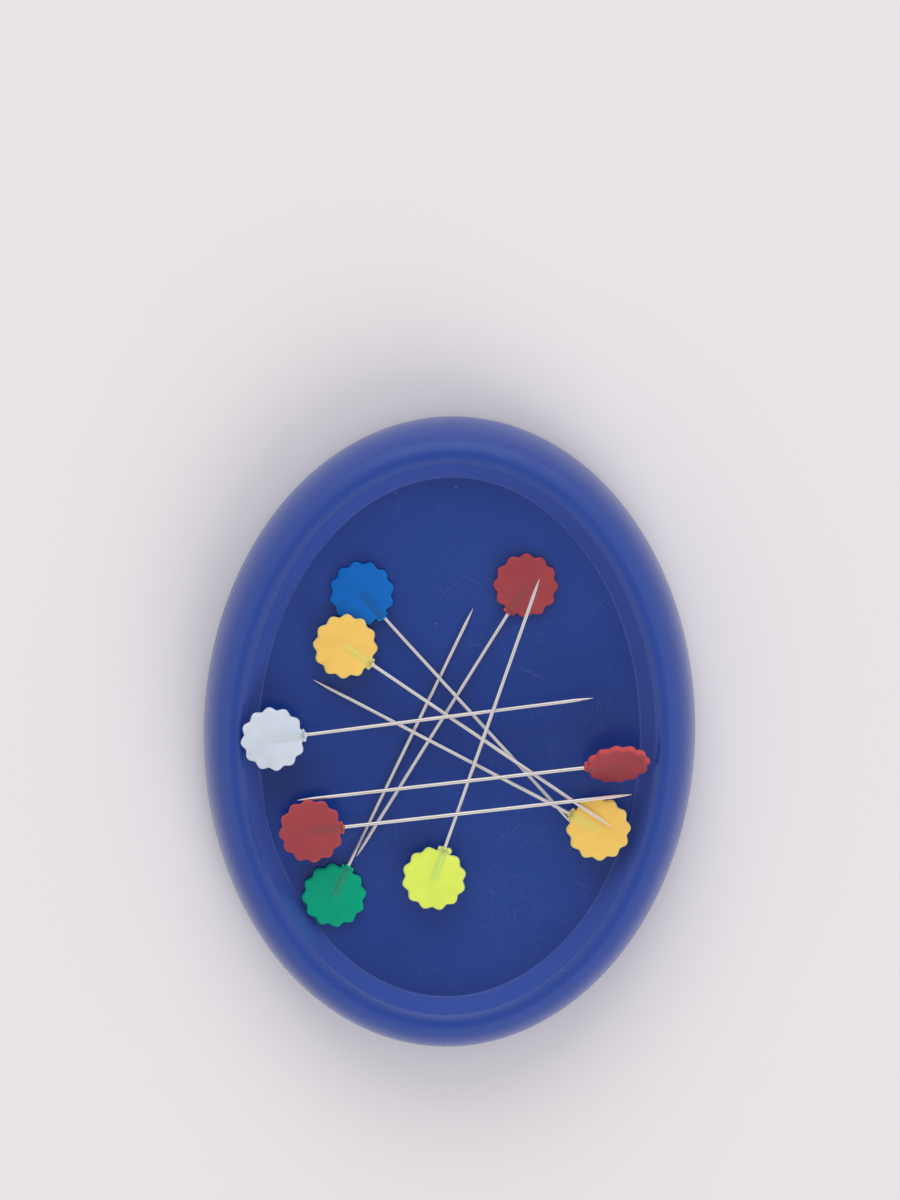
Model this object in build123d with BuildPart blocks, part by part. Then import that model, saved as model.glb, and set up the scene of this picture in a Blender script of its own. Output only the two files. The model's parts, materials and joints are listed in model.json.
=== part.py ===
from build123d import *
import os
from dataclasses import dataclass
from math import atan2, cos, degrees, hypot, radians, sin, sqrt, tan

# An oval magnetic pin bowl with nine flower-head pins lying in it, in millimetres.
# +Z is up, +Y runs along the bowl's long axis, and the origin is under the middle of the bowl,
# on the surface that its feet stand on.

# Bowl outline and the section of its rim
bowl_length = 100.0
bowl_width = 77.5
rim_width = 8.8
wall_run = 1.85
wall_rise = 3.6
crest_inset = 5.0
skirt_tuck = 0.4
shell_wall = 1.8
floor_thickness = 1.8
floor_lap = 3.0

# What lies between the floor and the table
foot_stand = 1.0
cover_thickness = 1.8
cover_gap = 0.15
pad_thickness = 0.8
magnet_thickness = 4.0
magnet_radius = 22.0
magnet_edge = 0.5

# Ring, bosses and ribs under the floor
ring_gap = 0.2
ring_wall = 1.4
ring_depth = 3.0
rib_thickness = 1.2
boss_outer_radius = 2.6
boss_gap = 0.6
boss_angle = 55.0
peg_radius = 1.4
peg_gap = 0.05
peg_length = 3.5
peg_chamfer = 0.3

# Feet in the cover
foot_radius = 4.5
foot_edge = 0.3
foot_recess = 0.6
foot_place_share = (0.56, 0.6)

# Pins
pin_length = 50.3
wire_radius = 0.3
point_length = 3.5
point_radius = 0.03
petal_count = 12
petal_radius = 5.05
notch_radius = 4.55
plate_thickness = 1.1
plate_under = 0.5
plate_edge = 0.2
sleeve_radius = 0.7
collar_reach = 0.55
ear_radius = 0.5
ear_spread = 0.75

# Room between a pin and what it lies on
pin_gap = 0.1

# Heights above the table, worked out from the stack of pieces
skirt_bottom = foot_stand
cover_top = skirt_bottom + cover_thickness
pad_top = cover_top + pad_thickness
floor_under = pad_top + magnet_thickness
floor_top = floor_under + floor_thickness

# Rim section: the inner wall leans at wall_angle and turns over into the crest without a kink
half_length = bowl_length / 2
half_width = bowl_width / 2
wall_angle = atan2(wall_rise, wall_run)
crest_run = rim_width - wall_run - crest_inset
crest_radius = crest_run / sin(wall_angle)
crest_rise = wall_rise + crest_radius * (1 - cos(wall_angle))
crest_top = floor_top + crest_rise
hollow_inset = rim_width - shell_wall / sin(wall_angle) + floor_thickness / tan(wall_angle)
floor_half_width = half_width - rim_width
floor_half_length = half_length - rim_width

# Places under the floor
ring_inner_radius = magnet_radius + ring_gap
ring_outer_radius = ring_inner_radius + ring_wall
boss_circle_radius = ring_outer_radius + boss_gap + boss_outer_radius
boss_angles = (boss_angle, 180 - boss_angle, 180 + boss_angle, -boss_angle)
boss_places = [
    (boss_circle_radius * cos(radians(angle)), boss_circle_radius * sin(radians(angle)))
    for angle in boss_angles
]
cover_inset = shell_wall + cover_gap
cover_half_width = half_width - cover_inset
cover_half_length = half_length - cover_inset
foot_x = foot_place_share[0] * cover_half_width
foot_y = foot_place_share[1] * cover_half_length
foot_places = {
    "front_left": (-foot_x, -foot_y),
    "front_right": (foot_x, -foot_y),
    "rear_left": (-foot_x, foot_y),
    "rear_right": (foot_x, foot_y),
}

# The pins' sizes that follow from the ones above
plate_above = plate_thickness - plate_under
sleeve_length = petal_radius + collar_reach

# Where each pin's head lies, as shares of the floor's half width and half length, then its
# heading from head to tip and its roll about the wire, in degrees, and the share of its length
# at which its weight and the magnet's pull act. A positive roll lowers the left side, seen
# along the heading. The list runs from the lowest pin to the uppermost.
pin_place_shares = {
    "green": (-0.583, -0.613, 65.8, -2, 0.5),
    "red_upper": (0.376, 0.595, -120.3, 3, 0.5),
    "blue": (-0.476, 0.549, -46.1, -3, 0.3),
    "yellow_right": (0.789, -0.316, 154.3, 2, 0.5),
    "yellow_left": (-0.555, 0.350, -32.5, 4, 0.5),
    "white": (-0.918, -0.003, 8.7, -3, 0.5),
    "lime": (-0.061, -0.526, 72.5, 3, 0.5),
    "red_right": (0.878, -0.062, -171.8, 51, 0.3),
    "red_left": (-0.708, -0.348, 8.1, -2, 0.5),
}

# A pin's resting heights are found by testing its underside at these steps
wire_steps = 120
plate_ring_shares = (0.35, 0.7, 1.0)
plate_steps = 24
tilt_limit_share = 0.5
tilt_steps = 60


@dataclass
class Pin:
    """One pin: its place in plan, and the heights of its axis above the floor at both ends."""

    x: float
    y: float
    heading: float
    roll: float
    pull_share: float
    head_height: float = 0.0
    tip_height: float = 0.0

    def plan(self, along, across):
        """Plan position of a point along the wire and to the left of it."""
        x = self.x + along * cos(self.heading) - across * sin(self.heading)
        y = self.y + along * sin(self.heading) + across * cos(self.heading)
        return x, y

    def local(self, x, y):
        """Distances along the wire and to the left of it of a plan position."""
        dx = x - self.x
        dy = y - self.y
        along = dx * cos(self.heading) + dy * sin(self.heading)
        across = dy * cos(self.heading) - dx * sin(self.heading)
        return along, across

    def axis_height(self, along):
        """Height of the pin's axis above the floor."""
        return self.head_height + (self.tip_height - self.head_height) * along / pin_length

    def underside(self):
        """Points of the underside: along, across, drop below the axis, and half width."""
        points = []
        for step in range(wire_steps + 1):
            along = pin_length * step / wire_steps
            radius = sleeve_radius if along < sleeve_length else wire_radius
            points.append((along, 0.0, radius, radius))
        for share in plate_ring_shares:
            for step in range(plate_steps):
                angle = radians(360 * step / plate_steps)
                along = share * petal_radius * cos(angle)
                side = share * petal_radius * sin(angle)
                across = side * cos(self.roll) - plate_under * sin(self.roll)
                drop = side * sin(self.roll) + plate_under * cos(self.roll)
                points.append((along, across, drop, 0.0))
        return points

    def tops(self, x, y, reach):
        """Heights of this pin's upper surfaces within reach of a plan position."""
        along, across = self.local(x, y)
        near = reach + pin_gap
        heights = []
        if 0 <= along <= sleeve_length + near and abs(across) < sleeve_radius + near:
            heights.append(self.axis_height(along) + sleeve_radius)
        if 0 <= along <= pin_length + near and abs(across) < wire_radius + near:
            heights.append(self.axis_height(along) + wire_radius)
        side = (across - plate_above * sin(self.roll)) / cos(self.roll)
        if hypot(along, side) < petal_radius + near:
            lift = plate_above * cos(self.roll) - side * sin(self.roll)
            heights.append(self.axis_height(along) + lift)
        return heights

    def plane(self):
        """Plane of the plate: origin on the axis at the head's centre, x along the wire."""
        slope = (self.tip_height - self.head_height) / pin_length
        flat = sqrt(1 - slope**2)
        along = Vector(flat * cos(self.heading), flat * sin(self.heading), slope)
        left = Vector(-sin(self.heading), cos(self.heading), 0)
        normal = along.cross(left) * cos(self.roll) + left * sin(self.roll)
        return Plane(
            origin=(self.x, self.y, floor_top + self.head_height), x_dir=along, z_dir=normal
        )


def dish_height(x, y):
    """Height of the dish's surface above its floor at a plan position."""
    level = hypot(x / floor_half_width, y / floor_half_length)
    if level <= 1:
        return 0.0
    slope = hypot(x / floor_half_width**2, y / floor_half_length**2) / level
    past = (level - 1) / slope
    if past < wall_run:
        return past * tan(wall_angle)
    to_crest = max(0.0, wall_run + crest_run - past)
    return crest_rise - crest_radius + sqrt(crest_radius**2 - to_crest**2)


def settle(pin, lower_pins):
    """Lay a pin on the dish and on the pins below it, its pulled point as low as it can lie."""
    supports = []
    for along, across, drop, reach in pin.underside():
        x, y = pin.plan(along, across)
        level = dish_height(x, y)
        for other in lower_pins:
            level = max([level] + other.tops(x, y, reach))
        supports.append((along / pin_length, level + drop + pin_gap))

    def head_height_at(tilt):
        return max(height - tilt * share for share, height in supports)

    low = -tilt_limit_share * pin_length
    high = tilt_limit_share * pin_length
    for _ in range(tilt_steps):
        third = (high - low) / 3
        left = head_height_at(low + third) + (low + third) * pin.pull_share
        right = head_height_at(high - third) + (high - third) * pin.pull_share
        if left < right:
            high = high - third
        else:
            low = low + third
    tilt = (low + high) / 2
    pin.head_height = head_height_at(tilt)
    pin.tip_height = pin.head_height + tilt


def rim_section():
    """Draw the closed section of the rim and skirt, with x outwards from the outline."""
    Line((-skirt_tuck, skirt_bottom), (0, cover_top))
    EllipticalCenterArc(
        (-crest_inset, cover_top), crest_inset, crest_top - cover_top, start_angle=0, arc_size=90
    )
    turn = degrees(wall_angle)
    crest = JernArc((-crest_inset, crest_top), (-1, 0), crest_radius, turn)
    Polyline(
        crest @ 1,
        (-rim_width, floor_top),
        (-rim_width - floor_lap, floor_top),
        (-rim_width - floor_lap, floor_under),
        (-hollow_inset, floor_under),
    )
    inner_radius = crest_radius - shell_wall
    under = JernArc((-crest_inset, crest_top - shell_wall), (-1, 0), inner_radius, turn)
    Line(under @ 1, (-hollow_inset, floor_under))
    EllipticalCenterArc(
        (-crest_inset, cover_top),
        crest_inset - shell_wall,
        crest_top - shell_wall - cover_top,
        start_angle=0,
        arc_size=90,
    )
    Polyline((-shell_wall, cover_top), (-shell_wall, skirt_bottom), (-skirt_tuck, skirt_bottom))


def save(part, name):
    """Label a finished piece and write it."""
    part.label = name
    export_step(part, f"parts/{name}.step")


def make_pin_head(pin):
    """Scalloped plate with the sleeve that grips the wire and two ears at its mouth."""
    plate = pin.plane()
    across = Plane(origin=plate.origin, x_dir=plate.y_dir, z_dir=plate.x_dir)
    half_step = 180 / petal_count
    with BuildPart() as head:
        with BuildSketch(plate.offset(-plate_under)):
            with BuildLine():
                for petal in range(petal_count):
                    angle = 2 * half_step * petal
                    ThreePointArc(
                        polar_point(notch_radius, angle - half_step),
                        polar_point(petal_radius, angle),
                        polar_point(notch_radius, angle + half_step),
                    )
            make_face()
        extrude(amount=plate_thickness)
        fillet(head.faces().sort_by(Axis(plate.origin, plate.z_dir))[-1].edges(), plate_edge)
        with BuildSketch(plate.offset(-plate_under)):
            with Locations((petal_radius, ear_spread), (petal_radius, -ear_spread)):
                Circle(ear_radius)
        extrude(amount=plate_thickness - plate_edge)
        with BuildSketch(across):
            Circle(sleeve_radius)
        extrude(amount=sleeve_length)
        with BuildSketch(across):
            Circle(wire_radius)
        extrude(amount=pin_length, mode=Mode.SUBTRACT)
    return head.part


def make_pin_wire(pin):
    """Steel wire from the head's centre to its ground point."""
    plate = pin.plane()
    side = Plane(origin=plate.origin, x_dir=plate.x_dir, z_dir=-plate.y_dir)
    with BuildPart() as wire:
        with BuildSketch(side):
            with BuildLine():
                shaft = Polyline((0, 0), (0, wire_radius), (pin_length - point_length, wire_radius))
                point = TangentArc(shaft @ 1, (pin_length, point_radius), tangent=(1, 0))
                Polyline(point @ 1, (pin_length, 0), (0, 0))
            make_face()
        revolve(axis=Axis(plate.origin, plate.x_dir))
    return wire.part


def polar_point(radius, angle):
    """Point at an angle in degrees on a circle about the origin."""
    return radius * cos(radians(angle)), radius * sin(radians(angle))


os.makedirs("parts", exist_ok=True)

# Bowl shell: rim and skirt swept round the oval, then the floor with what hangs under it
with BuildPart() as bowl_shell:
    with BuildLine() as outline:
        EllipticalCenterArc((0, 0), half_width, half_length, start_angle=0, arc_size=360)
    with BuildSketch(Plane(origin=(half_width, 0, 0), x_dir=(1, 0, 0), z_dir=(0, -1, 0))):
        with BuildLine():
            rim_section()
        make_face()
    sweep(path=outline.wire())
    with BuildSketch(Plane.XY.offset(floor_under)):
        Ellipse(floor_half_width - floor_lap / 2, floor_half_length - floor_lap / 2)
    extrude(amount=floor_thickness)
    with BuildSketch(Plane.XY.offset(floor_under)):
        Circle(ring_outer_radius)
        Circle(ring_inner_radius, mode=Mode.SUBTRACT)
    extrude(amount=-ring_depth)
    with BuildSketch(Plane.XY.offset(floor_under)):
        with Locations(*boss_places):
            Circle(boss_outer_radius)
            Circle(peg_radius + peg_gap, mode=Mode.SUBTRACT)
    extrude(amount=cover_top - floor_under)
    with BuildSketch(Plane.XY.offset(floor_under)):
        for reach, direction in (
            (half_width - hollow_inset, (1, 0)),
            (half_length - hollow_inset, (0, 1)),
        ):
            rib_start = ring_outer_radius - ring_wall / 2
            rib_end = reach + shell_wall / 2
            rib_middle = (rib_start + rib_end) / 2
            for side in (-1, 1):
                with Locations((side * rib_middle * direction[0], side * rib_middle * direction[1])):
                    Rectangle(rib_end - rib_start, rib_thickness, rotation=90 * direction[1])
    extrude(amount=-ring_depth)
save(bowl_shell.part, "bowl_shell")

# Base cover: closes the hollow, with a peg for each boss and a recess for each foot
with BuildPart() as base_cover:
    with BuildSketch(Plane.XY.offset(skirt_bottom)):
        Ellipse(cover_half_width, cover_half_length)
    extrude(amount=cover_thickness)
    with BuildSketch(Plane.XY.offset(cover_top)):
        with Locations(*boss_places):
            Circle(peg_radius)
    extrude(amount=peg_length)
    chamfer(base_cover.faces().sort_by(Axis.Z)[-4:].edges(), peg_chamfer)
    with BuildSketch(Plane.XY.offset(skirt_bottom)):
        with Locations(*foot_places.values()):
            Circle(foot_radius)
    extrude(amount=foot_recess, mode=Mode.SUBTRACT)
save(base_cover.part, "base_cover")

# Magnet and the foam pad that presses it up against the floor
with BuildPart() as magnet:
    with BuildSketch(Plane.XY.offset(pad_top)):
        Circle(magnet_radius)
    extrude(amount=magnet_thickness)
    chamfer(magnet.edges().filter_by(GeomType.CIRCLE), magnet_edge)
save(magnet.part, "magnet")

with BuildPart() as magnet_pad:
    with BuildSketch(Plane.XY.offset(cover_top)):
        Circle(magnet_radius)
    extrude(amount=pad_thickness)
save(magnet_pad.part, "magnet_pad")

# Rubber feet
for foot_name, foot_place in foot_places.items():
    with BuildPart() as foot:
        with BuildSketch():
            with Locations(foot_place):
                Circle(foot_radius)
        extrude(amount=foot_stand + foot_recess)
        fillet(foot.faces().sort_by(Axis.Z)[0].edges(), foot_edge)
    save(foot.part, f"foot_{foot_name}")

# Pins, laid down one after the other
laid_pins = []
for pin_name, (x_share, y_share, heading_degrees, roll_degrees, pull_share) in (
    pin_place_shares.items()
):
    laid_pin = Pin(
        x_share * floor_half_width,
        y_share * floor_half_length,
        radians(heading_degrees),
        radians(roll_degrees),
        pull_share,
    )
    settle(laid_pin, laid_pins)
    laid_pins.append(laid_pin)
    save(make_pin_head(laid_pin), f"pin_{pin_name}_head")
    save(make_pin_wire(laid_pin), f"pin_{pin_name}_wire")
    print(pin_name, "head", round(laid_pin.head_height, 2), "tip", round(laid_pin.tip_height, 2))
print("crest", round(crest_top, 2), "floor", round(floor_top, 2))
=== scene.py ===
"""Looks of an oval magnetic pin bowl with nine flower-head pins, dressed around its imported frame.

The bowl's shell and the pins are fine meshes that stand where the frame's own pieces stand.
The base cover, the magnet, its pad and the feet keep the frame's shapes and get their finishes.
Lengths are in metres. +Z is up, and +Y runs along the bowl's long axis.
"""

import json
import logging
from collections.abc import Callable, Mapping, Sequence
from dataclasses import dataclass, field
from enum import Enum
from math import atan2, cos, hypot, pi, radians, sin, sqrt, tan

import bmesh
import bpy
import numpy as np
from mathutils import Matrix, Vector

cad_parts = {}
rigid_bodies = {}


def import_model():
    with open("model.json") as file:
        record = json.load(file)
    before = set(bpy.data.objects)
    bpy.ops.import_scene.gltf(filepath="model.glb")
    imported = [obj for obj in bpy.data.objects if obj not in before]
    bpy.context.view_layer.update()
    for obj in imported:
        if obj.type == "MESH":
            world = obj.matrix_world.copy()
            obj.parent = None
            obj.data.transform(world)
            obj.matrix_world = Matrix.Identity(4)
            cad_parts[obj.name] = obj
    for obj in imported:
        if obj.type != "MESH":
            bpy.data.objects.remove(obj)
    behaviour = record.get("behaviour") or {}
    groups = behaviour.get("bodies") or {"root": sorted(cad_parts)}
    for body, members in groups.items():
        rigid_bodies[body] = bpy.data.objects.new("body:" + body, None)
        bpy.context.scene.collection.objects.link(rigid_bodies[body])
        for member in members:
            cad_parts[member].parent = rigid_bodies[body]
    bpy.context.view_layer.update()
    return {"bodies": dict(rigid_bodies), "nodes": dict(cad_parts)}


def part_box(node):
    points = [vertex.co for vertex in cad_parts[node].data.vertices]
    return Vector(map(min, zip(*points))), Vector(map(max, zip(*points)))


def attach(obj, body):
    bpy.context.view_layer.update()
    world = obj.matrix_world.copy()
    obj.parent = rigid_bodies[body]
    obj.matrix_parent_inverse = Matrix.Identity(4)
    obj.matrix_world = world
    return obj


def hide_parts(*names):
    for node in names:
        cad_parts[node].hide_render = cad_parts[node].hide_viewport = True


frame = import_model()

MM = 0.001

# Spans of a noise's values over which a step rises
NARROW = (0.3, 0.7)
BROAD = (0.25, 0.75)
WIDE = (0.2, 0.8)

log = logging.getLogger("pin_bowl")

Node = bpy.types.Node
Piece = bpy.types.Object
Socket = bpy.types.NodeSocket
Sockets = bpy.types.NodeOutputs
Input = float | int | tuple[float, ...] | Socket
Colour = tuple[float, float, float, float]
Ring = list[Vector]
Pair = tuple[float, float]


# Node trees and shared groups


@dataclass
class Wiring:
    """Adds nodes to one node tree, of a material, a world or a group, and joins their sockets."""

    tree: bpy.types.NodeTree

    @classmethod
    def of(cls, owner: bpy.types.Material | bpy.types.World) -> "Wiring":
        """Empties a material or world.

        Args:
            owner: The material or world.

        Returns:
            The wiring of its node tree.
        """
        owner.use_nodes = True
        owner.node_tree.nodes.clear()
        return cls(owner.node_tree)

    def fill(self, node: Node, inputs: Mapping[str | int, Input]) -> Node:
        """Gives a node's inputs their values.

        Args:
            node: The node.
            inputs: A value or another node's output for each input, by its name or number.

        Returns:
            The same node.
        """
        for name, value in inputs.items():
            if isinstance(value, Socket):
                self.tree.links.new(value, node.inputs[name])
            else:
                node.inputs[name].default_value = value
        return node

    def add(self, kind: str, inputs: Mapping[str | int, Input] | None = None, **settings: object) -> Node:
        """Adds one node.

        Args:
            kind: The node's type name without its "ShaderNode" prefix.
            inputs: What each input gets.
            **settings: Properties of the node.

        Returns:
            The new node.
        """
        node = self.tree.nodes.new("ShaderNode" + kind)
        for name, value in settings.items():
            setattr(node, name, value)
        return self.fill(node, inputs or {})

    def math(self, operation: str, *values: Input, clamp: bool = True) -> Socket:
        """Adds a sum, product or other operation on numbers and returns its output."""
        return self.add("Math", dict(enumerate(values)), operation=operation, use_clamp=clamp).outputs[0]

    def step(self, value: Input, low: Input, high: Input, start: Input = 0.0, end: Input = 1.0) -> Socket:
        """Adds a smooth step from start, below low, to end, above high, and returns its output."""
        inputs = {"Value": value, "From Min": low, "From Max": high, "To Min": start, "To Max": end}
        return self.add("MapRange", inputs, interpolation_type="SMOOTHSTEP").outputs["Result"]

    def mix(self, factor: Input, first: Input, second: Input) -> Socket:
        """Adds a mix of two colours and returns its output."""
        return self.add("Mix", {0: factor, 6: first, 7: second}, data_type="RGBA").outputs[2]

    def laid(self, mask: Input, strength: Input, colour: Input, paint: Input) -> Socket:
        """Lays a paint over a colour where a mask shows it, and returns the result."""
        return self.mix(self.math("MULTIPLY", mask, strength), colour, paint)

    def noise(self, vector: Input, scale: Input, detail: float = 2.0, roughness: float = 0.5) -> Socket:
        """Adds a noise with so many features for each metre, and returns its value."""
        inputs = {"Vector": vector, "Scale": scale, "Detail": detail, "Roughness": roughness}
        return self.add("TexNoise", inputs).outputs[0]

    def place(self) -> Socket:
        """Adds and returns the piece's own coordinates, in metres."""
        return self.add("TexCoord").outputs["Object"]

    def own_place(self) -> Socket:
        """Adds and returns the coordinates that a pin's mesh keeps along its own axes, in metres."""
        return self.add("Attribute", attribute_name=Draft.OWN_PLACE).outputs["Vector"]

    def mask(self, name: str) -> Socket:
        """Adds and returns a mask that the mesh keeps at its points."""
        return self.add("Attribute", attribute_name=name).outputs["Fac"]

    def group(self, effect: type["Effect"], **inputs: Input) -> Node:
        """Places a shared effect and returns its node. Its inputs are named with "_" for a space."""
        node = self.add("Group", node_tree=effect.tree())
        return self.fill(node, {name.replace("_", " "): value for name, value in inputs.items()})

    def wear(self, effect: type["Effect"], place: Input, scale: float, amount: float) -> Socket:
        """Places the shared scratches or dust and returns their mask."""
        return self.group(effect, Vector=place, Scale=scale, Amount=amount).outputs["Mask"]

    def bump(self, height: Socket, strength: float, depth: float) -> Socket:
        """Adds a bump, so many metres deep at a height of 1, and returns the bent normal."""
        return self.add("Bump", {"Height": height, "Strength": strength, "Distance": depth}).outputs[0]

    def surface(self, colour: Input, roughness: Input, **more: Input) -> Node:
        """Adds and returns the surface shader. Its other inputs are named with "_" for a space."""
        inputs = {name.replace("_", " "): value for name, value in more.items()}
        return self.add("BsdfPrincipled", {"Base Color": colour, "Roughness": roughness, **inputs})


class Effect:
    """A surface effect that several finishes share, as a node group that is built once.

    It takes and gives sockets, listed by name with their kind.
    """

    title: str
    takes: Mapping[str, str]
    gives: Mapping[str, str]

    @classmethod
    def tree(cls) -> bpy.types.NodeTree:
        """Finds the effect's node group, and builds it the first time.

        Returns:
            The group.
        """
        known = bpy.data.node_groups.get(cls.title)
        if known is not None:
            return known
        tree = bpy.data.node_groups.new(cls.title, "ShaderNodeTree")
        for sockets, direction in ((cls.takes, "INPUT"), (cls.gives, "OUTPUT")):
            for name, kind in sockets.items():
                tree.interface.new_socket(name, in_out=direction, socket_type="NodeSocket" + kind)
        inside = tree.nodes.new("NodeGroupInput")
        outside = tree.nodes.new("NodeGroupOutput")
        results = cls.wire(Wiring(tree), inside.outputs)
        for name, result in zip(cls.gives, results, strict=True):
            tree.links.new(result, outside.inputs[name])
        return tree

    @classmethod
    def wire(cls, wiring: Wiring, takes: Sockets) -> tuple[Socket, ...]:
        """Wires the inside of the group.

        Args:
            wiring: The group's wiring.
            takes: The group's inputs, seen from inside.

        Returns:
            One output for each socket that the effect gives.
        """
        raise NotImplementedError


class Scratches(Effect):
    """Fine hairlines from use, in a few directions, in patches."""

    title = "Hairline scratches"
    takes = {"Vector": "Vector", "Scale": "Float", "Amount": "Float"}
    gives = {"Mask": "Float"}
    directions = (24.0, 78.0, 141.0)
    layer_shift = (3.7, 1.9)
    stretch = 26
    hair_level = 0.5
    hair_width = 0.011
    patch_scales = (55.0, 67.0, 79.0)
    patch_level = 0.72
    patch_soft = 0.3

    @classmethod
    def wire(cls, wiring: Wiring, takes: Sockets) -> tuple[Socket, ...]:
        """Draws thin level lines of stretched noise, one layer for each direction.

        Args:
            wiring: The group's wiring.
            takes: The place, the scale and how much of the surface is scratched.

        Returns:
            The lines' mask.
        """
        lines = None
        for index, (degrees, patch_scale) in enumerate(zip(cls.directions, cls.patch_scales)):
            turn = {"Vector": takes["Vector"], "Rotation": (0, 0, radians(degrees))}
            turned = wiring.add("Mapping", turn).outputs[0]
            shift = (index * cls.layer_shift[0], index * cls.layer_shift[1], 0)
            pull = {"Vector": turned, "Location": shift, "Scale": (1, cls.stretch, cls.stretch)}
            value = wiring.noise(wiring.add("Mapping", pull).outputs[0], takes["Scale"], detail=1.0)
            away = wiring.math("ABSOLUTE", wiring.math("SUBTRACT", value, cls.hair_level, clamp=False))
            line = wiring.step(away, 0.0, cls.hair_width, 1.0, 0.0)
            patch = wiring.noise(turned, patch_scale, detail=3.0)
            low = wiring.math("SUBTRACT", cls.patch_level, takes["Amount"], clamp=False)
            high = wiring.math("ADD", low, cls.patch_soft, clamp=False)
            layer = wiring.math("MULTIPLY", line, wiring.step(patch, low, high))
            lines = layer if lines is None else wiring.math("MAXIMUM", lines, layer)
        return (lines,)


class Dust(Effect):
    """Tiny pale specks of dust and lint, each of its own size."""

    title = "Dust specks"
    takes = {"Vector": "Vector", "Scale": "Float", "Amount": "Float"}
    gives = {"Mask": "Float"}
    bare_share = 0.72
    bend_scale = 2600.0
    bend = (0.7, 1.4)

    @classmethod
    def wire(cls, wiring: Wiring, takes: Sockets) -> tuple[Socket, ...]:
        """Draws a dot in some cells, larger where the cell's own number is large.

        Args:
            wiring: The group's wiring.
            takes: The place, the scale and how large the specks are.

        Returns:
            The specks' mask.
        """
        cells = wiring.add("TexVoronoi", {"Vector": takes["Vector"], "Scale": takes["Scale"]})
        number = wiring.add("SeparateColor", {0: cells.outputs["Color"]}).outputs[0]
        share = wiring.step(number, cls.bare_share, 1.0)
        radius = wiring.math("MULTIPLY", share, takes["Amount"])
        bent = wiring.step(wiring.noise(takes["Vector"], cls.bend_scale, detail=1.0), *WIDE, *cls.bend)
        distance = wiring.math("MULTIPLY", cells.outputs["Distance"], bent)
        return (wiring.math("MULTIPLY", wiring.step(distance, 0.0, radius, 1.0, 0.0), share),)


class Grain(Effect):
    """Fine moulded grain with softer swells under it."""

    title = "Moulded grain"
    takes = {"Vector": "Vector", "Scale": "Float", "Swell": "Float"}
    gives = {"Height": "Float", "Tone": "Float"}
    swell_scale = 0.04

    @classmethod
    def wire(cls, wiring: Wiring, takes: Sockets) -> tuple[Socket, ...]:
        """Adds a fine noise to a coarse one.

        Args:
            wiring: The group's wiring.
            takes: The place, the fine noise's scale and the coarse one's share.

        Returns:
            The height, and the coarse noise alone as a tone.
        """
        fine = wiring.noise(takes["Vector"], takes["Scale"], detail=3.0, roughness=0.6)
        coarse_scale = wiring.math("MULTIPLY", takes["Scale"], cls.swell_scale, clamp=False)
        coarse = wiring.noise(takes["Vector"], coarse_scale, detail=2.0)
        swell = wiring.math("MULTIPLY", coarse, takes["Swell"])
        return wiring.math("ADD", fine, swell, clamp=False), coarse


class Tint(Effect):
    """Moulded petal plastic: body colour, a painted rim glow, and the wire showing through as painted
    shade.
    """

    title = "Petal tint"
    # Rim and Rim Colour paint a glow along the edge; Streak and Streak Colour paint shade where the wire
    # shows through.
    takes = {
        "Vector": "Vector", "Rim": "Float", "Streak": "Float",
        "Body Colour": "Color", "Rim Colour": "Color", "Streak Colour": "Color",
    }
    gives = {"Colour": "Color", "Roughness": "Float", "Height": "Float"}
    flow_scale = 330.0
    flow_values = (0.93, 1.05)
    flow_gloss = (0.34, 0.44)
    blur_scale = 900.0
    blur_values = (0.78, 1.0)
    satin_scale = 5200.0

    @classmethod
    def wire(cls, wiring: Wiring, takes: Sockets) -> tuple[Socket, ...]:
        """Lays the painted rim glow and the wire's painted shade on the body, with flow marks and a satin
        surface.

        Args:
            wiring: The group's wiring.
            takes: The place, the two masks and the three colours.

        Returns:
            The colour, the roughness and the surface's height.
        """
        flow = wiring.noise(takes["Vector"], cls.flow_scale, detail=3.0, roughness=0.55)
        value = wiring.step(flow, *BROAD, *cls.flow_values)
        body = {"Color": takes["Body Colour"], "Value": value}
        deeper = wiring.add("HueSaturation", body).outputs[0]
        # Painted glow on the rim, then painted shade where the wire shows through.
        rimmed = wiring.mix(takes["Rim"], deeper, takes["Rim Colour"])
        blur = wiring.step(wiring.noise(takes["Vector"], cls.blur_scale), *WIDE, *cls.blur_values)
        colour = wiring.laid(takes["Streak"], blur, rimmed, takes["Streak Colour"])
        satin = wiring.noise(takes["Vector"], cls.satin_scale)
        return colour, wiring.step(flow, *WIDE, *cls.flow_gloss), satin


# Finishes


@dataclass(frozen=True)
class Finish:
    """What all finishes share: a material's name and the record's slot that it stands for.

    Hairs and specks are a scale and an amount, a relief is a bump's strength and depth.
    """

    name: str
    slot: str

    def material(self) -> bpy.types.Material:
        """Finds the finish's material, and builds it the first time.

        Returns:
            The material.
        """
        known = bpy.data.materials.get(self.name)
        if known is not None:
            return known
        material = bpy.data.materials.new(self.name)
        wiring = Wiring.of(material)
        wiring.add("OutputMaterial", {"Surface": self.shade(wiring).outputs[0]})
        return material

    def shade(self, wiring: Wiring) -> Node:
        """Wires the finish's nodes and returns the surface shader."""
        raise NotImplementedError

    def dress(self, piece: Piece) -> None:
        """Gives a piece this finish alone.

        Args:
            piece: The piece.
        """
        piece.data.materials.clear()
        piece.data.materials.append(self.material())


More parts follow.
